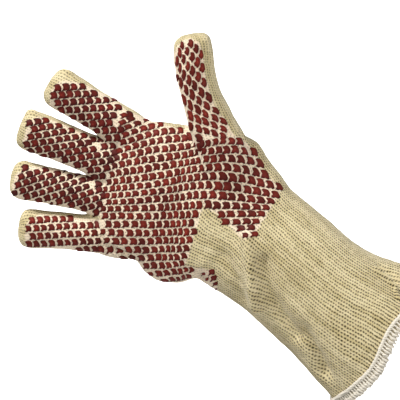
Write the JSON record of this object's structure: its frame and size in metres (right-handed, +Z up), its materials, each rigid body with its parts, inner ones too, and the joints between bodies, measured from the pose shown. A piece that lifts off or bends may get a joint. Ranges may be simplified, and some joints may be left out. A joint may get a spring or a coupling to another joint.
{
  "type": "knitted heat glove",
  "caption": "Knitted cotton heat glove for the right hand, with a long cuff, an overlocked hem and raised nitrile grip pads on the palm side.",
  "frame": {"origin": "centre of the cuff's mouth, in the plane of the hem", "axes": "+Z up the cuff towards the fingers, +X towards the thumb side, palm facing -Y"},
  "size_m": [0.2451, 0.0848, 0.3429],
  "materials": {
    "knit": "heavy cream cotton stockinette",
    "hem_thread": "off-white overlock thread",
    "nitrile": "satin dark red nitrile"
  },
  "bodies": {
    "root": {"knit_shell": "knit", "cuff_hem": "hem_thread", "palm_print": "nitrile", "index_print": "nitrile", "middle_print": "nitrile", "ring_print": "nitrile", "little_print": "nitrile", "thumb_print": "nitrile"}
  },
  "joints": []
}
